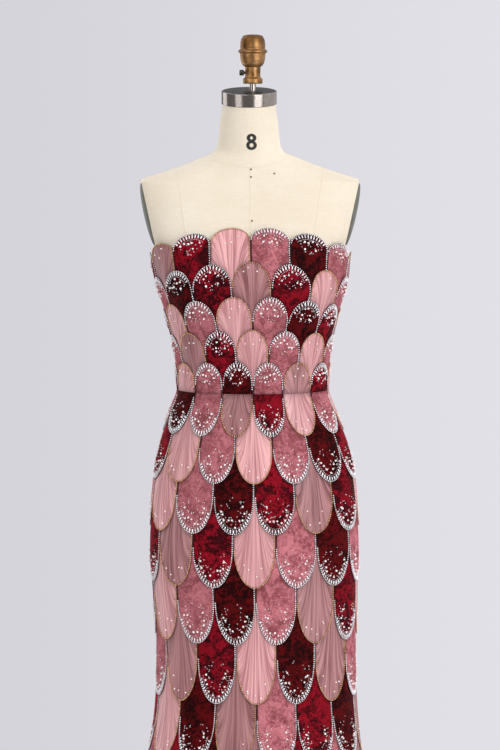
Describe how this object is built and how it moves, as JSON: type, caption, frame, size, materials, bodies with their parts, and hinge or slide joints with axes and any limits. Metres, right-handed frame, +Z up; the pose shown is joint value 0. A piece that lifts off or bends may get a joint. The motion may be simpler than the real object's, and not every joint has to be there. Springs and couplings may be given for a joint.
{
  "type": "mermaid gown on a limbless dress form",
  "caption": "Strapless mermaid gown of overlapping beaded scales, worn by a limbless canvas dress form with a finial on a pole stand.",
  "frame": {"origin": "on the floor under the stand's pole, at the centre of the stand's flat underside", "axes": "+Z up along the pole, -Y the gown's front, +X the side of the wearer's left arm"},
  "size_m": [0.6238, 0.6166, 1.652],
  "materials": {
    "gown_cloth": "crushed velvet with organza and beading",
    "canvas": "plain woven ivory canvas",
    "zip_metal": "dark nickel",
    "plate_metal": "dull grey-green metal",
    "neck_steel": "polished",
    "bronze": "antiqued",
    "screw_steel": "darkened",
    "stand_paint": "satin black"
  },
  "bodies": {
    "gown_and_form": {"bodice_front": "gown_cloth", "bodice_back_left": "gown_cloth", "bodice_back_right": "gown_cloth", "skirt_front": "gown_cloth", "skirt_back_left": "gown_cloth", "skirt_back_right": "gown_cloth", "zip_slider": "zip_metal", "form_body": "canvas", "arm_plate_left": "plate_metal", "arm_plate_right": "plate_metal", "neck_cap": "neck_steel", "neck_rod": "neck_steel", "finial": "bronze", "stand_pole": "stand_paint", "stand_hub": "stand_paint", "stand_legs": "stand_paint"},
    "thumb_screw": {"thumb_screw": "screw_steel"},
    "zip_pull": {"zip_pull": "zip_metal"}
  },
  "joints": [
    {"name": "thumb_screw_turn", "type": "hinge", "parent": "gown_and_form", "child": "thumb_screw", "pos_m": [-0.0186, 0, 1.5908], "axis": [-1, 0, 0], "continuous": true},
    {"name": "zip_pull_swing", "type": "hinge", "parent": "gown_and_form", "child": "zip_pull", "pos_m": [0, 0.1145, 1.226], "axis": [1, 0, 0], "range_deg": [0, 165]}
  ]
}
